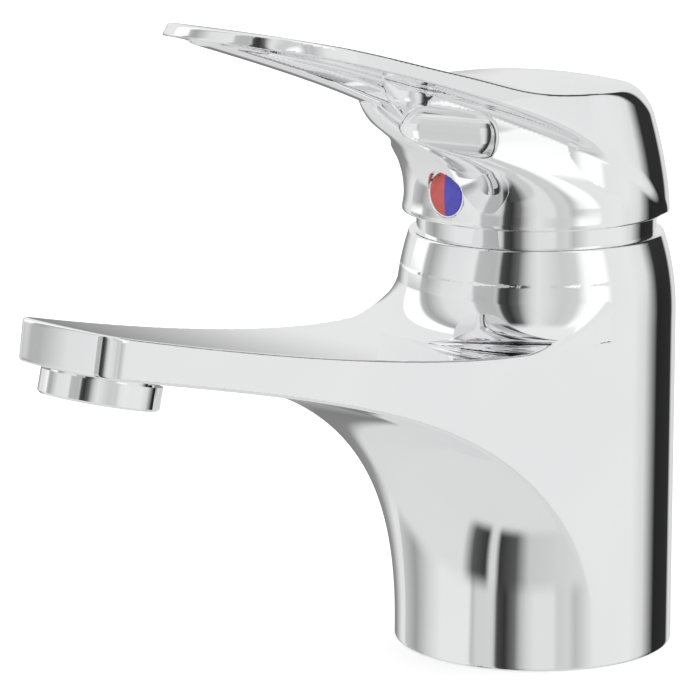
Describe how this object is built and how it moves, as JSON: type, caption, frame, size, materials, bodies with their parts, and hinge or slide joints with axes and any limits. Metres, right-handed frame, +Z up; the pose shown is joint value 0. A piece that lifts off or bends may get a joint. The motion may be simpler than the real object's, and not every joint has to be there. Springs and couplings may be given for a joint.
{
  "type": "single-lever basin mixer faucet",
  "caption": "Chrome basin mixer: round column, flat rising spout with aerator, and a hooded lever that lifts for flow and swings for temperature.",
  "frame": {"origin": "centre of the round base, in the plane of its mounting face, where the open base recess ends", "axes": "+Z up along the column, -Y from the column towards the spout's tip and the lever's tip, +X to the user's right when facing the faucet; cold is on +X"},
  "size_m": [0.05, 0.139, 0.1178],
  "materials": {
    "polished_chrome": "mirror polish",
    "black_rubber": "moulded",
    "cartridge_plastic": "moulded",
    "ceramic": "lapped ceramic",
    "brass": "turned",
    "aerator_plastic": "moulded",
    "steel": "fine drawn",
    "regulator_plastic": "moulded",
    "guide_plastic": "moulded",
    "stop_ring_plastic": "moulded",
    "indicator_red": "glossy inlay",
    "indicator_blue": "glossy inlay"
  },
  "bodies": {
    "root": {"body": "polished_chrome", "base_seal_ring": "black_rubber", "cartridge_base": "cartridge_plastic", "cartridge_seals": "black_rubber", "disc_seal": "black_rubber", "fixed_ceramic_disc": "ceramic", "cartridge_housing": "cartridge_plastic", "cartridge_nut": "brass", "cover_dome": "polished_chrome", "aerator_housing": "polished_chrome", "aerator_insert": "aerator_plastic", "aerator_screen": "steel", "flow_regulator": "regulator_plastic", "aerator_gasket": "black_rubber"},
    "rotor": {"spindle_guide": "guide_plastic", "pivot_pin": "steel", "temperature_stop_ring": "stop_ring_plastic"},
    "disc": {"moving_ceramic_disc": "ceramic", "disc_carrier": "guide_plastic"},
    "handle": {"spindle": "steel", "lever": "polished_chrome", "lever_set_screw": "steel", "indicator_plug": "polished_chrome", "indicator_hot": "indicator_red", "indicator_cold": "indicator_blue"}
  },
  "joints": [
    {"name": "temperature", "type": "hinge", "parent": "root", "child": "rotor", "pos_m": [0, 0, 0.067], "axis": [0, 0, 1], "range_deg": [-45, 45]},
    {"name": "flow", "type": "hinge", "parent": "rotor", "child": "handle", "pos_m": [0, 0, 0.067], "axis": [-1, 0, 0], "range_deg": [0, 20]},
    {"name": "disc_slide", "type": "slide", "parent": "rotor", "child": "disc", "axis": [0, -1, 0], "range_m": [0, 0.004]}
  ],
  "couplings": [
    {"joint": "disc_slide", "follows": "flow", "m_per_rad": 0.0104}
  ]
}
